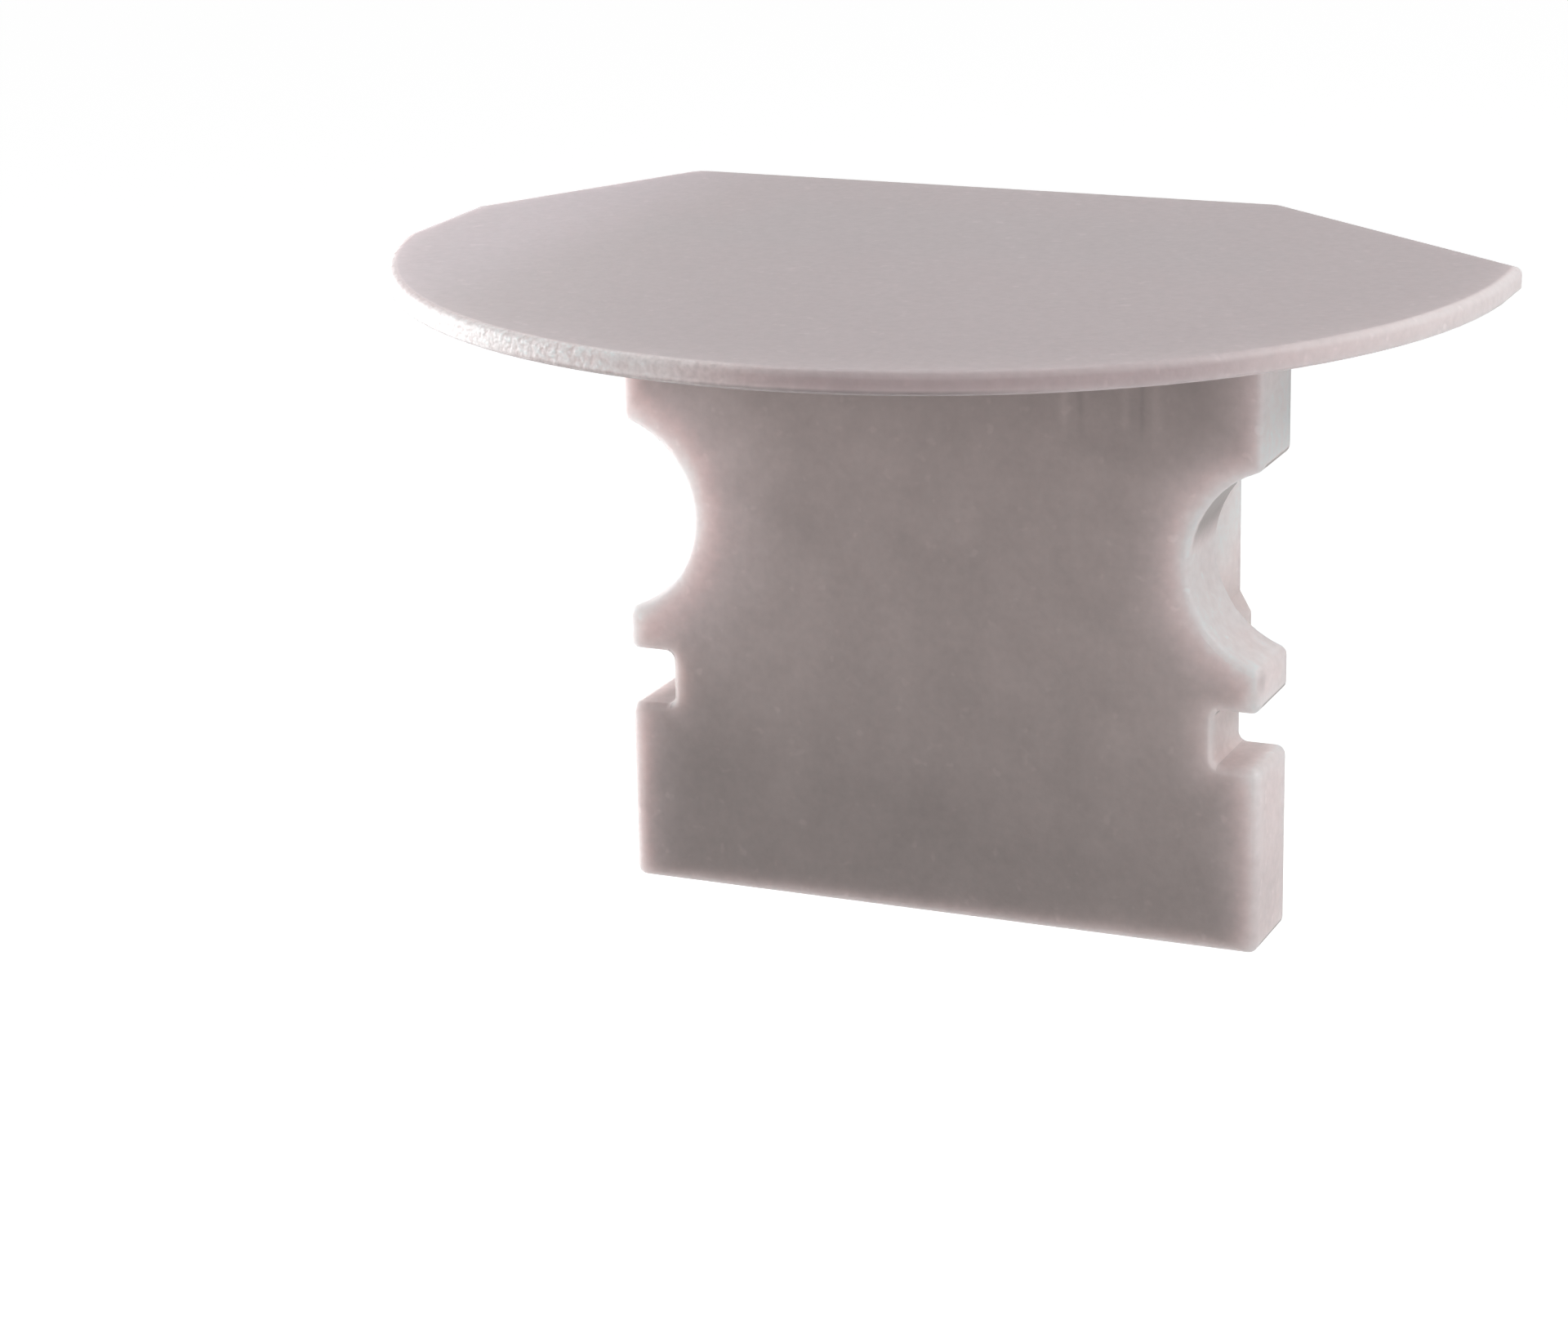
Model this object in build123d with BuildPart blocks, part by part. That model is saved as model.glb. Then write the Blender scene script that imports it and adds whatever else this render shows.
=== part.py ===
import os
from math import radians, sqrt, tan

from build123d import *

# Profile end cap, one moulded piece. The thin plate closes the cut end of a corner profile,
# and the tongue below it is pushed into the channel behind the plate.
# Frame: X across the tongue, Y towards the straight back edge, Z up along the profile.
# The origin is on the plate's underside, in the middle of the tongue.

# Plate outline
plate_thickness = 0.45
plate_arc_radius = 11.5
plate_arc_centre_y = 0.35
left_flat_cut = 0.3
right_flat_cut = 0.01
back_edge_y = 6.15
left_tip_y = 0.85
right_tip_y = 1.45
left_wall_angle = 62.0
right_wall_angle = 36.5
back_corner_radius = 0.5
tip_corner_radius = 0.15
plate_top_round = 0.15
plate_under_round = 0.06

# Tongue
tongue_width = 14.0
tongue_thickness = 2.0
tongue_length = 13.7
tongue_edge_round = 0.15

# Edge cut-outs of the tongue, counted from its foot upwards
foot_height = 3.95
slot_height = 1.2
slot_depth = 1.0
lug_height = 0.9
notch_chord = 4.15
notch_depth = 1.55
edge_corner_radius = 0.2
slot_corner_radius = 0.2

# Core behind the tongue, between the notches
core_clearance = 0.25
core_depth = 2.6
core_length = 8.6
core_edge_round = 0.2
core_foot_height = 0.85
flare_height = 0.45
flare_width = 0.25

# Worked out from the sizes above
tolerance = 0.01
left_width = plate_arc_radius - left_flat_cut
right_width = plate_arc_radius - right_flat_cut
half_tongue = tongue_width / 2
left_corner_x = (back_edge_y - left_tip_y) / tan(radians(left_wall_angle)) - left_width
right_corner_x = right_width - (back_edge_y - right_tip_y) / tan(radians(right_wall_angle))
left_arc_end_y = plate_arc_centre_y - sqrt(plate_arc_radius**2 - left_width**2)
right_arc_end_y = plate_arc_centre_y - sqrt(plate_arc_radius**2 - right_width**2)
plate_front_y = plate_arc_centre_y - plate_arc_radius

slot_middle_z = foot_height + slot_height / 2 - tongue_length
notch_middle_z = foot_height + slot_height + lug_height + notch_chord / 2 - tongue_length
notch_radius = ((notch_chord / 2) ** 2 + notch_depth**2) / (2 * notch_depth)
notch_centre_x = half_tongue + notch_radius - notch_depth
core_half_width = half_tongue - notch_depth - core_clearance
flare_start = core_length - core_foot_height - flare_height

with BuildPart() as end_cap:
    # Plate: straight back edge, two wall edges, two short sides and the round front
    with BuildSketch(Plane.XY) as plate_outline:
        with BuildLine():
            front = ThreePointArc(
                (-left_width, left_arc_end_y), (0, plate_front_y), (right_width, right_arc_end_y)
            )
            Polyline(
                front @ 1,
                (right_width, right_tip_y),
                (right_corner_x, back_edge_y),
                (left_corner_x, back_edge_y),
                (-left_width, left_tip_y),
                front @ 0,
            )
        make_face()
        fillet(plate_outline.vertices().group_by(Axis.Y)[-1], back_corner_radius)
        tips = plate_outline.vertices().filter_by(
            lambda v: abs(v.Y - left_tip_y) < tolerance or abs(v.Y - right_tip_y) < tolerance
        )
        fillet(tips, tip_corner_radius)
    extrude(amount=plate_thickness)
    plate_top = end_cap.faces().sort_by(Axis.Z)[-1]
    fillet(plate_top.edges(), plate_top_round)
    plate_under = end_cap.faces().sort_by(Axis.Z)[0]
    fillet(plate_under.edges(), plate_under_round)

    # Tongue: a flat slab with a round notch and a square slot in each edge
    with BuildSketch(Plane.XZ.offset(-tongue_thickness / 2)) as tongue_outline:
        with Locations((0, -tongue_length / 2)):
            Rectangle(tongue_width, tongue_length)
        with Locations((notch_centre_x, notch_middle_z), (-notch_centre_x, notch_middle_z)):
            Circle(notch_radius, mode=Mode.SUBTRACT)
        with Locations((half_tongue, slot_middle_z), (-half_tongue, slot_middle_z)):
            Rectangle(2 * slot_depth, slot_height, mode=Mode.SUBTRACT)
        edge_corners = tongue_outline.vertices().filter_by(lambda v: abs(abs(v.X) - half_tongue) < tolerance)
        fillet(edge_corners.filter_by(lambda v: v.Y < -tolerance), edge_corner_radius)
        slot_corners = tongue_outline.vertices().filter_by(
            lambda v: abs(abs(v.X) - half_tongue + slot_depth) < tolerance
            and abs(abs(v.Y - slot_middle_z) - slot_height / 2) < tolerance
        )
        fillet(slot_corners, slot_corner_radius)
    extrude(amount=tongue_thickness)
    slab_faces = end_cap.faces().filter_by(Axis.Y).filter_by(lambda f: abs(f.center().Y) < tongue_thickness)
    fillet(slab_faces.edges().filter_by(lambda e: e.center().Z < -tolerance), tongue_edge_round)

    # Core: a thicker block behind the slab, clear of the two notches and wider at its lower end
    with BuildSketch(Plane.XZ.offset(-tongue_thickness / 2)):
        with BuildLine():
            core_side = Polyline(
                (0, 0),
                (core_half_width, 0),
                (core_half_width, -flare_start),
                (core_half_width + flare_width, -flare_start - flare_height),
                (core_half_width + flare_width, -core_length),
                (0, -core_length),
            )
            mirror(core_side, about=Plane.YZ)
        make_face()
    extrude(amount=-core_depth)
    core_faces = end_cap.faces().filter_by(Axis.Y).filter_by(
        lambda f: abs(f.center().Y - tongue_thickness / 2 - core_depth) < tolerance
    )
    fillet(core_faces.edges().filter_by(lambda e: e.center().Z < -tolerance), core_edge_round)

end_cap.part.label = "end_cap"

os.makedirs("parts", exist_ok=True)
export_step(end_cap.part, "parts/end_cap.step")

print("solids", len(end_cap.part.solids()), "volume mm3", round(end_cap.part.volume, 2))
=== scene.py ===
from math import radians

import bpy
from mathutils import Matrix, Vector

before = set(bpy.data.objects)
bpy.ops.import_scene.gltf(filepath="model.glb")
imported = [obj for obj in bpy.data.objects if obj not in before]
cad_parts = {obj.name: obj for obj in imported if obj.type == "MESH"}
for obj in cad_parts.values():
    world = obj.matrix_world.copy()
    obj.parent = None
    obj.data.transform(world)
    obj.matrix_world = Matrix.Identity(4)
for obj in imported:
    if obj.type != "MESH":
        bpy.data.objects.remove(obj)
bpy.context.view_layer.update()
mm = 0.001

# the view of the photograph, fitted to the plate's outline and the tongue's edges
viewSettings = {
    "location": (30.306 * mm, -77.601 * mm, 17.529 * mm),
    "yaw": 23.752,
    "pitch": 17.276,
    "roll": -1.251,
    "focalPixels": 5096.8,
    "imageWidth": 1920,
    "sensor": 36.0,
    "nearest": 1 * mm,
    "farthest": 10.0,
}


def makeCamera(settings):
    camData = bpy.data.cameras.new("photoView")
    camData.sensor_width = settings["sensor"]
    camData.lens = settings["focalPixels"] * settings["sensor"] / settings["imageWidth"]
    camData.clip_start, camData.clip_end = settings["nearest"], settings["farthest"]
    cam = bpy.data.objects.new("photoView", camData)
    bpy.context.collection.objects.link(cam)
    # level and looking along +Y, then turned, tipped down and rolled
    level = Matrix.Rotation(radians(90), 4, "X")
    turn = Matrix.Rotation(radians(settings["yaw"]), 4, "Z")
    tip = Matrix.Rotation(radians(-settings["pitch"]), 4, "X")
    roll = Matrix.Rotation(radians(settings["roll"]), 4, "Z")
    cam.matrix_world = Matrix.Translation(settings["location"]) @ turn @ tip @ level @ roll
    bpy.context.scene.camera = cam


makeCamera(viewSettings)
bpy.context.scene.view_settings.view_transform = "Standard"
print("camera set")


noiseMiddle = 0.5


# node helpers: most add nodes to a tree and return the outputs to use
def calc(tree, how, *values, clamp=False):
    node = tree.nodes.new("ShaderNodeMath")
    node.operation, node.use_clamp = how, clamp
    for socket, value in zip(node.inputs, values):
        if isinstance(value, (int, float)):
            socket.default_value = value
        else:
            tree.links.new(value, socket)
    return node.outputs["Value"]


def product(tree, first, *others):
    for other in others:
        first = calc(tree, "MULTIPLY", first, other)
    return first


def fade(tree, value, ends):
    # 0 at the first end, 1 at the second, smooth between
    node = tree.nodes.new("ShaderNodeMapRange")
    node.interpolation_type = "SMOOTHSTEP"
    node.inputs["From Min"].default_value, node.inputs["From Max"].default_value = ends
    tree.links.new(value, node.inputs["Value"])
    return node.outputs["Result"]


def bell(tree, value, place, width):
    # 1 at the place, falling off on both sides
    offset = calc(tree, "DIVIDE", calc(tree, "SUBTRACT", value, place), width)
    return calc(tree, "EXPONENT", product(tree, offset, offset, -1))


def span(tree, a, b):
    # how far off a point is that lies a one way and b the other
    return calc(tree, "SQRT", calc(tree, "ADD", product(tree, a, a), product(tree, b, b)))


def noise(tree, position, scale, detail):
    node = tree.nodes.new("ShaderNodeTexNoise")
    node.inputs["Scale"].default_value, node.inputs["Detail"].default_value = scale, detail
    tree.links.new(position, node.inputs["Vector"])
    return node.outputs["Fac"]


def aboutZero(tree, value):
    return calc(tree, "SUBTRACT", value, noiseMiddle)


def blend(tree, how, amount, a, b):
    node = tree.nodes.new("ShaderNodeMix")
    node.data_type, node.blend_type = "RGBA", how
    for socket, value in ((node.inputs[0], amount), (node.inputs[6], a), (node.inputs[7], b)):
        if isinstance(value, (int, float)):
            socket.default_value = value
        elif isinstance(value, tuple):
            socket.default_value = value + (1.0,)
        else:
            tree.links.new(value, socket)
    return node.outputs[2]


def splitMillimetres(tree, vector):
    scale = tree.nodes.new("ShaderNodeVectorMath")
    scale.operation = "SCALE"
    scale.inputs["Scale"].default_value = 1 / mm
    tree.links.new(vector, scale.inputs[0])
    split = tree.nodes.new("ShaderNodeSeparateXYZ")
    tree.links.new(scale.outputs["Vector"], split.inputs[0])
    return split.outputs["X"], split.outputs["Y"], split.outputs["Z"]


def newGroup(name, outputs):
    tree = bpy.data.node_groups.new(name, "ShaderNodeTree")
    tree.interface.new_socket("Position", in_out="INPUT", socket_type="NodeSocketVector")
    tree.interface.new_socket("Reach", in_out="INPUT", socket_type="NodeSocketFloat")
    for label in outputs:
        tree.interface.new_socket(label, in_out="OUTPUT", socket_type="NodeSocketFloat")
    return tree, tree.nodes.new("NodeGroupInput"), tree.nodes.new("NodeGroupOutput")


def useGroup(tree, group, position, reach):
    node = tree.nodes.new("ShaderNodeGroup")
    node.node_tree = group
    tree.links.new(position, node.inputs["Position"])
    node.inputs["Reach"].default_value = reach
    return node.outputs


# sizes of the moulding that the finish follows, in mm
capSizes = {
    "halfTongue": 7.0,
    "foot": -13.7,
    "notchCentre": (7.614, -5.575),
    "notchRadius": 2.164,
    "slotInner": 6.0,
    "slotMiddle": -9.15,
    "slotHalf": 0.6,
    "plateRadius": 11.5,
    "plateCentreY": 0.35,
}

# how the tongue's colour changes, with a painted glow at its edges and painted light and shade; each pair
# is where a fade starts and where it is full, in mm
tongueLook = {
    "below": (-0.02, -0.06),
    "leftHalf": (1.0, -1.0),
    "glowPower": 1.35,
    # the painted glow at each edge: its share of the reach, what the left half adds to that, and its
    # strength
    "side": (1.1, 0.2, 1.0),
    "notch": (1.4, 0.9, 0.97),
    "slot": (1.0, 0.0, 0.45),
    "foot": (0.4, 0.0, 0.9),
    # painted light (+) and painted shade (-), by place
    "paintedLightAndShade": [
        (0.09, {"z": (-1.5, -4.5)}),  # painted light from mid height down
        (-0.21, {"z": (-8.0, -13.0)}),  # painted shade towards the foot, where it takes back the line above too
        (0.1, {"x": (0.5, 5.5), "z": (-7.5, -9.5)}),  # painted light at lower right
        (-0.06, {"z": (-4.0, -1.5)}),  # in the plate's shade
        (0.12, {"away": (6.85, 6.98), "z": (-4.2, -3.4)}),  # painted light on the upper ends
        (-0.13, {"away": (6.85, 6.98), "z": (-6.5, -7.5)}),  # painted shade on the ends of lugs and foot
        (0.1, {"y": (0.98, 1.1)}),  # painted light on the core
    ],
    # the slots' floors: painted light makes the right one paler, and painted shade keeps down the left one,
    # which faces the lamps
    "slotFloor": (0.14, 0.03),
    "slotFloorInside": 6.1,
    "slotFloorFrom": (-1.0, -0.97),
    "slotFloorPaintedLight": 0.22,
    "slotFloorLeftPaintedShade": -0.62,  # painted shade on the left, added to the value above
    # a small dark spot on the right lug's end, at this y and z
    "darkSpotPlace": (-0.82, -7.87),
    "darkSpotWidth": 0.26,
    "darkSpotTone": -0.3,
    "darkSpotFace": (6.9, 6.98),
    # faint upright marks under the plate: place, width, tone
    "marks": [
        (2.85, 0.09, 0.14),
        (3.2, 0.07, -0.12),
        (4.15, 0.1, 0.13),
        (4.5, 0.06, -0.14),
        (4.78, 0.12, 0.12),
        (5.6, 0.3, -0.05),
    ],
    "marksHeight": (-3.3, -2.5),
    "marksFront": (-0.7, -0.95),
}


def makeTongueEdgeGroup(sizes, look):
    # Mask is 1 on the tongue's outline and fades inwards and carries the painted glow there; the second
    # output is its level, with painted light and shade, a dark spot and faint marks; Below is 1 under the
    # plate
    tree, given, out = newGroup("tongueEdge", ["Mask", "PaintedLightAndMarks", "Below"])
    x, y, z = splitMillimetres(tree, given.outputs["Position"])
    away = calc(tree, "ABSOLUTE", x)
    notchX, notchZ = sizes["notchCentre"]
    toNotch = span(tree, calc(tree, "SUBTRACT", away, notchX), calc(tree, "SUBTRACT", z, notchZ))
    slotRise = calc(tree, "ABSOLUTE", calc(tree, "SUBTRACT", z, sizes["slotMiddle"]))
    pastSlotX = calc(tree, "MAXIMUM", calc(tree, "SUBTRACT", sizes["slotInner"], away), 0)
    pastSlotZ = calc(tree, "MAXIMUM", calc(tree, "SUBTRACT", slotRise, sizes["slotHalf"]), 0)
    distances = {
        "side": calc(tree, "SUBTRACT", sizes["halfTongue"], away),
        "notch": calc(tree, "SUBTRACT", toNotch, sizes["notchRadius"]),
        "slot": span(tree, pastSlotX, pastSlotZ),
        "foot": calc(tree, "SUBTRACT", z, sizes["foot"]),
    }
    below = fade(tree, z, look["below"])
    onLeft = fade(tree, x, look["leftHalf"])

    # the painted glow along the outline, the notches, the slots and the foot
    glow = 0.0
    for name, distance in distances.items():
        share, moreOnLeft, strength = look[name]
        reach = product(tree, calc(tree, "MULTIPLY_ADD", onLeft, moreOnLeft, share), given.outputs["Reach"])
        depth = calc(tree, "DIVIDE", calc(tree, "MAXIMUM", distance, 0), reach)
        falloff = calc(tree, "EXPONENT", product(tree, calc(tree, "POWER", depth, look["glowPower"]), -1))
        glow = calc(tree, "MAXIMUM", glow, product(tree, falloff, strength))

    # painted light and shade on the tongue, then the dark spot, the slots' floors and the marks
    change = 0.0
    along = {"x": x, "y": y, "z": z, "away": away}
    for amount, fades in look["paintedLightAndShade"]:
        place = product(tree, *[fade(tree, along[axis], ends) for axis, ends in fades.items()])
        change = calc(tree, "MULTIPLY_ADD", place, amount, change)
    darkSpotY, darkSpotZ = look["darkSpotPlace"]
    darkSpot = product(tree, bell(tree, y, darkSpotY, look["darkSpotWidth"]), bell(tree, z, darkSpotZ, look["darkSpotWidth"]))
    darkSpot = product(tree, darkSpot, fade(tree, x, look["darkSpotFace"]))
    change = calc(tree, "MULTIPLY_ADD", darkSpot, look["darkSpotTone"], change)
    # painted light on the right slot's floor, painted shade on the left one
    slotFloor = product(
        tree,
        calc(tree, "LESS_THAN", away, look["slotFloorInside"]),
        fade(tree, distances["slot"], look["slotFloor"]),
        fade(tree, y, look["slotFloorFrom"]),
    )
    slotFloorLightAndShade = calc(tree, "MULTIPLY_ADD", onLeft, look["slotFloorLeftPaintedShade"], look["slotFloorPaintedLight"])
    change = calc(tree, "MULTIPLY_ADD", slotFloor, slotFloorLightAndShade, change)
    marks = 0.0
    for place, width, amount in look["marks"]:
        marks = calc(tree, "MULTIPLY_ADD", bell(tree, x, place, width), amount, marks)
    marksPlace = product(tree, fade(tree, z, look["marksHeight"]), fade(tree, y, look["marksFront"]))
    change = calc(tree, "MULTIPLY_ADD", marks, marksPlace, change)

    tree.links.new(product(tree, glow, below), out.inputs["Mask"])
    tree.links.new(calc(tree, "MULTIPLY_ADD", change, below, 1.0), out.inputs["PaintedLightAndMarks"])
    tree.links.new(below, out.inputs["Below"])
    return tree


# where the plate's painted glow, highlights, glints, shade and reflection lie; the pairs are fades in mm,
# as above
plateLook = {
    "above": (0.005, 0.03),
    "edge": (0.22, 0.08),
    "left": (2.5, -3.0),
    "farLeft": (-5.0, -9.0),
    "farLeftLoss": 0.5,
    "right": (7.5, 11.5),
    "rightShare": 0.65,
    "overTongue": (6.5, 3.5),
    "under": (0.12, 0.04),
    "paintedReflection": (-6.0, -9.5),
}


def makePlateEdgeGroup(sizes, look):
    # Mask is 1 on the round front and fades inwards, for a painted glow; the others are the rim, its shares
    # for a painted highlight on its sides and painted glints and bump on its left, a painted shade under
    # its lower edge and the left zone with a painted reflection
    tree, given, out = newGroup("plateEdge", ["Mask", "Rim", "PaintedRimLight", "Left", "ShadedUnderEdge", "PaintedReflectionZone"])
    x, y, z = splitMillimetres(tree, given.outputs["Position"])
    radius = span(tree, x, calc(tree, "SUBTRACT", y, sizes["plateCentreY"]))
    inside = calc(tree, "MAXIMUM", calc(tree, "SUBTRACT", sizes["plateRadius"], radius), 0)
    # painted glow along the round front
    glow = calc(tree, "EXPONENT", product(tree, calc(tree, "DIVIDE", inside, given.outputs["Reach"]), -1))
    above = fade(tree, z, look["above"])
    edge = fade(tree, inside, look["edge"])
    rim = product(tree, edge, above)
    farLeft = calc(tree, "MULTIPLY_ADD", fade(tree, x, look["farLeft"]), -look["farLeftLoss"], 1.0)
    left = product(tree, fade(tree, x, look["left"]), farLeft)
    right = product(tree, fade(tree, x, look["right"]), look["rightShare"])
    overTongue = fade(tree, calc(tree, "ABSOLUTE", x), look["overTongue"])
    results = {
        "Mask": product(tree, glow, above),
        "Rim": rim,
        # painted highlight on the rim's left and right sides
        "PaintedRimLight": product(tree, rim, calc(tree, "MAXIMUM", left, right)),
        "Left": product(tree, rim, left),
        # painted shade under the rim's lower edge over the tongue
        "ShadedUnderEdge": product(tree, edge, fade(tree, z, look["under"]), overTongue),
        # painted reflection, a paler zone on the plate's left
        "PaintedReflectionZone": product(tree, fade(tree, x, look["paintedReflection"]), above),
    }
    for label, result in results.items():
        tree.links.new(result, out.inputs[label])
    return tree


plasticSettings = {
    "plateColour": (0.478, 0.405, 0.415),
    "tongueColour": (0.478, 0.412, 0.398),
    # colour that the painted glow and highlights at the edges blend towards
    "glowColour": (0.93, 0.81, 0.805),
    # painted reflection: a paler zone on the plate's left
    "paintedReflectionColour": (0.62, 0.54, 0.585),
    "paintedReflectionAmount": 0.45,
    "tongueReach": 0.52,
    "plateReach": 0.6,
    # painted glow on the plate's round front, painted highlight on the rim's sides, painted glints on the
    # rim's left and painted shade under the rim's lower edge over the tongue
    "plateGlow": 0.16,
    "rimPaintedHighlight": 1.0,
    "rimPaintedGlint": 0.65,
    "rimUnderShade": 0.5,
    # painted shade on overhanging walls, which also takes the painted glow off them, but not on the front's
    # own edge
    "overhangShade": 0.3,
    "overhangTilt": (-0.05, -0.4),
    "overhangFrom": (-0.9, -0.6),
    # noise: scale and amount
    "clouds": [(420, 0.14), (1600, 0.09)],
    "plateClouds": 0.12,
    "fine": (5000, 0.1),
    "cloudDetail": 4.0,
    "specks": (3600, 0.1),
    "speckRange": (0.66, 0.8),
    "grainScale": 9000,
    "grainDetail": 1.0,
    "grainBump": 0.3,
    "rimBump": 1.8,
    "bumpHeight": 0.02 * mm,
    "roughness": 0.45,
    "rimRoughness": 0.44,
    "underRoughness": 0.45,
    "scatterWeight": 1.0,
    "scatterDepth": 0.8 * mm,
    "scatterTint": (1.0, 0.94, 0.92),
}


def makePlastic(settings, sizes):
    mat = bpy.data.materials.new("greyPlastic")
    mat.use_nodes = True
    tree = mat.node_tree
    shader = tree.nodes["Principled BSDF"]
    place = tree.nodes.new("ShaderNodeTexCoord").outputs["Object"]
    tongue = useGroup(tree, makeTongueEdgeGroup(sizes, tongueLook), place, settings["tongueReach"])
    plate = useGroup(tree, makePlateEdgeGroup(sizes, plateLook), place, settings["plateReach"])

    # painted shade on walls that face down, behind the front
    facing = tree.nodes.new("ShaderNodeSeparateXYZ")
    tree.links.new(tree.nodes.new("ShaderNodeNewGeometry").outputs["Normal"], facing.inputs[0])
    behindFront = fade(tree, splitMillimetres(tree, place)[1], settings["overhangFrom"])
    overhangShadeMask = product(tree, fade(tree, facing.outputs["Z"], settings["overhangTilt"]), behindFront)

    # colour: plate or tongue, with a painted glow at the edges, a painted highlight on the rim's sides and
    # a painted reflection on the plate's left
    tongueGlow = product(tree, tongue["Mask"], calc(tree, "SUBTRACT", 1.0, overhangShadeMask))
    plateGlow = product(tree, plate["Mask"], settings["plateGlow"])
    # painted highlight on the rim's sides
    plateGlow = calc(tree, "MULTIPLY_ADD", plate["PaintedRimLight"], settings["rimPaintedHighlight"], plateGlow)
    paintedGlow = calc(tree, "MAXIMUM", tongueGlow, plateGlow, clamp=True)
    paintedReflection = product(tree, plate["PaintedReflectionZone"], settings["paintedReflectionAmount"])
    top = blend(tree, "MIX", paintedReflection, settings["plateColour"], settings["paintedReflectionColour"])
    body = blend(tree, "MIX", tongue["Below"], top, settings["tongueColour"])
    colour = blend(tree, "MIX", paintedGlow, body, settings["glowColour"])

    # level: clouds mostly on the tongue, fine grain and specks all over, the tongue's painted light and
    # shade, painted glints on the rim's left, and painted shade under the rim's edge and on overhangs
    clouds = 0.0
    for scale, amount in settings["clouds"]:
        cloud = aboutZero(tree, noise(tree, place, scale, settings["cloudDetail"]))
        clouds = calc(tree, "MULTIPLY_ADD", cloud, amount * 2, clouds)
    plateShare = settings["plateClouds"]
    cloudShare = calc(tree, "MULTIPLY_ADD", tongue["Below"], 1.0 - plateShare, plateShare)
    level = calc(tree, "MULTIPLY_ADD", clouds, cloudShare, 1.0)
    fineScale, fineAmount = settings["fine"]
    fine = aboutZero(tree, noise(tree, place, fineScale, settings["cloudDetail"]))
    level = product(tree, calc(tree, "MULTIPLY_ADD", fine, fineAmount * 2, level), tongue["PaintedLightAndMarks"])
    speckScale, speckAmount = settings["specks"]
    specks = fade(tree, noise(tree, place, speckScale, settings["grainDetail"]), settings["speckRange"])
    level = calc(tree, "MULTIPLY_ADD", specks, speckAmount, level)
    grain = noise(tree, place, settings["grainScale"], settings["grainDetail"])
    # painted glints on the rim's left, from the same grain as its bump
    paintedGlint = product(tree, aboutZero(tree, grain), plate["Left"])
    level = calc(tree, "MULTIPLY_ADD", paintedGlint, settings["rimPaintedGlint"], level)
    # painted shade under the rim's lower edge over the tongue and on overhanging walls
    for mask, amount in ((plate["ShadedUnderEdge"], settings["rimUnderShade"]), (overhangShadeMask, settings["overhangShade"])):
        level = product(tree, level, calc(tree, "MULTIPLY_ADD", mask, -amount, 1.0))
    shade = tree.nodes.new("ShaderNodeCombineColor")
    for socket in shade.inputs[:3]:
        tree.links.new(level, socket)
    baseColour = blend(tree, "MULTIPLY", 1.0, colour, shade.outputs["Color"])
    tree.links.new(baseColour, shader.inputs["Base Color"])

    # surface: a fine grain, coarser on the rim's left
    rimStep = settings["rimRoughness"] - settings["roughness"]
    rough = calc(tree, "MULTIPLY_ADD", plate["Rim"], rimStep, settings["roughness"])
    rough = calc(tree, "MULTIPLY_ADD", plate["ShadedUnderEdge"], settings["underRoughness"], rough)
    tree.links.new(rough, shader.inputs["Roughness"])
    bumpStep = settings["rimBump"] - settings["grainBump"]
    bumpShare = calc(tree, "MULTIPLY_ADD", plate["Left"], bumpStep, settings["grainBump"])
    bump = tree.nodes.new("ShaderNodeBump")
    bump.inputs["Strength"].default_value = 1.0
    bump.inputs["Distance"].default_value = settings["bumpHeight"]
    tree.links.new(product(tree, grain, bumpShare), bump.inputs["Height"])
    tree.links.new(bump.outputs["Normal"], shader.inputs["Normal"])

    shader.inputs["Subsurface Weight"].default_value = settings["scatterWeight"]
    shader.inputs["Subsurface Radius"].default_value = settings["scatterTint"]
    shader.inputs["Subsurface Scale"].default_value = settings["scatterDepth"]
    return mat


plastic = makePlastic(plasticSettings, capSizes)
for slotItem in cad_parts["end_cap"].material_slots:
    slotItem.material = plastic
print("plastic on the cap")

# the floor lies well below the foot
floorSettings = {
    "height": -40 * mm,
    "half": 900 * mm,
    "colour": (0.8, 0.8, 0.8, 1.0),
    "seenWhite": 0.98,
    "seenShade": (0.3, 0.3, 0.3, 1.0),
}

# place and size in mm; each lamp looks at the cap and isn't seen by the camera
lampSettings = {
    "topLamp": {"place": (0, 40, 120), "size": 120, "power": 0.068},
    "backLeftLamp": {"place": (-100, 90, 0), "size": 90, "power": 0.038},
    "rightHighLamp": {"place": (95, 0, 80), "size": 60, "power": 0.064},
    "rightLowLamp": {"place": (120, -20, -15), "size": 50, "power": 0.029},
    "leftLamp": {"place": (-120, 0, 12), "size": 80, "power": 0.11},
    "leftLowLamp": {"place": (-112, 30, -26), "size": 90, "power": 0.038},
    "leftSideLamp": {"place": (-115, -35, -15), "size": 60, "power": 0.025},
    "frontLamp": {"place": (20, -130, 10), "size": 90, "power": 0.0223},
}
worldSettings = {"colour": (1, 1, 1, 1), "strength": 0.02}


def makeLamp(name, settings):
    place = Vector(settings["place"]) * mm
    lampData = bpy.data.lights.new(name, "AREA")
    lampData.size = settings["size"] * mm
    lampData.energy = settings["power"]
    lamp = bpy.data.objects.new(name, lampData)
    lamp.location = place
    lamp.rotation_mode = "QUATERNION"
    lamp.rotation_quaternion = place.to_track_quat("Z", "Y")
    lamp.visible_camera = False
    bpy.context.collection.objects.link(lamp)


def mixShaders(tree, share, a, b):
    mix = tree.nodes.new("ShaderNodeMixShader")
    for socket, value in zip(mix.inputs, (share, a, b)):
        tree.links.new(value, socket)
    return mix.outputs["Shader"]


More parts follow.
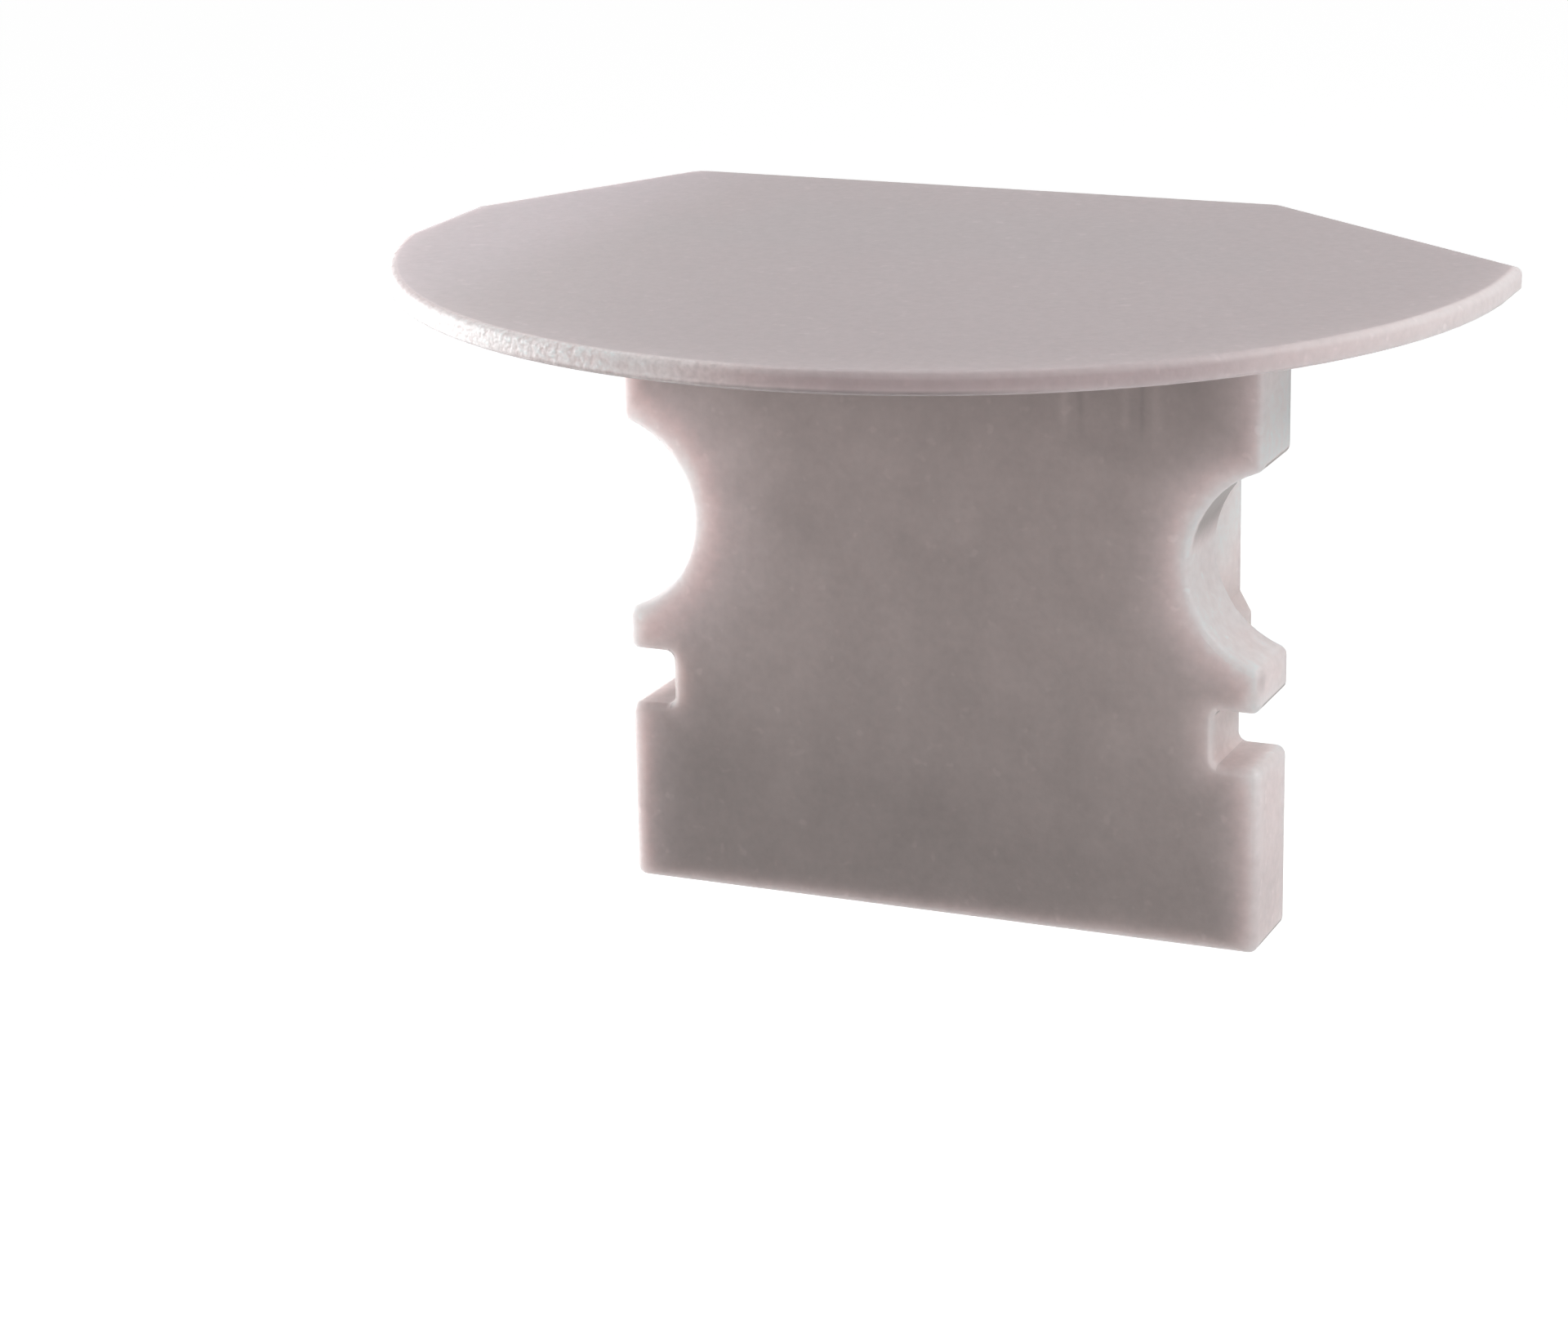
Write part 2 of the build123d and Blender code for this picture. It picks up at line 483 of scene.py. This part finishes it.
def whiteWhenSeen(tree, lit, seen):
    # eyes, mirrors and glass see the white version; the part is lit by the other one
    path = tree.nodes.new("ShaderNodeLightPath").outputs
    mirrored = calc(tree, "MAXIMUM", path["Is Glossy Ray"], path["Is Transmission Ray"])
    return mixShaders(tree, calc(tree, "MAXIMUM", path["Is Camera Ray"], mirrored), lit, seen)


def makeWorld(settings):
    world = bpy.data.worlds.new("studio")
    bpy.context.scene.world = world
    world.use_nodes = True
    tree = world.node_tree
    lit, seen = tree.nodes["Background"], tree.nodes.new("ShaderNodeBackground")
    for node in (lit, seen):
        node.inputs["Color"].default_value = settings["colour"]
    lit.inputs["Strength"].default_value = settings["strength"]
    shown = whiteWhenSeen(tree, lit.outputs["Background"], seen.outputs["Background"])
    tree.links.new(shown, tree.nodes["World Output"].inputs["Surface"])


def makeFloor(settings):
    half, low = settings["half"], settings["height"]
    corners = [(-half, -half, low), (half, -half, low), (half, half, low), (-half, half, low)]
    mesh = bpy.data.meshes.new("floor")
    mesh.from_pydata(corners, [], [(0, 1, 2, 3)])
    floor = bpy.data.objects.new("floor", mesh)
    bpy.context.collection.objects.link(floor)
    mat = bpy.data.materials.new("paleFloor")
    mat.use_nodes = True
    tree = mat.node_tree
    tree.nodes.remove(tree.nodes["Principled BSDF"])
    lit, shade = [tree.nodes.new("ShaderNodeBsdfDiffuse") for _ in range(2)]
    lit.inputs["Color"].default_value = settings["colour"]
    shade.inputs["Color"].default_value = settings["seenShade"]
    white = tree.nodes.new("ShaderNodeEmission")
    white.inputs["Strength"].default_value = settings["seenWhite"]
    seen = tree.nodes.new("ShaderNodeAddShader")
    tree.links.new(shade.outputs["BSDF"], seen.inputs[0])
    tree.links.new(white.outputs["Emission"], seen.inputs[1])
    shown = whiteWhenSeen(tree, lit.outputs["BSDF"], seen.outputs["Shader"])
    # clear from below, so that the underside can be looked at
    fromBelow = tree.nodes.new("ShaderNodeNewGeometry").outputs["Backfacing"]
    clear = tree.nodes.new("ShaderNodeBsdfTransparent").outputs["BSDF"]
    surface = mixShaders(tree, fromBelow, shown, clear)
    tree.links.new(surface, tree.nodes["Material Output"].inputs["Surface"])
    mesh.materials.append(mat)


makeWorld(worldSettings)
makeFloor(floorSettings)
for lampName, lampValues in lampSettings.items():
    makeLamp(lampName, lampValues)
print("floor and lights set")
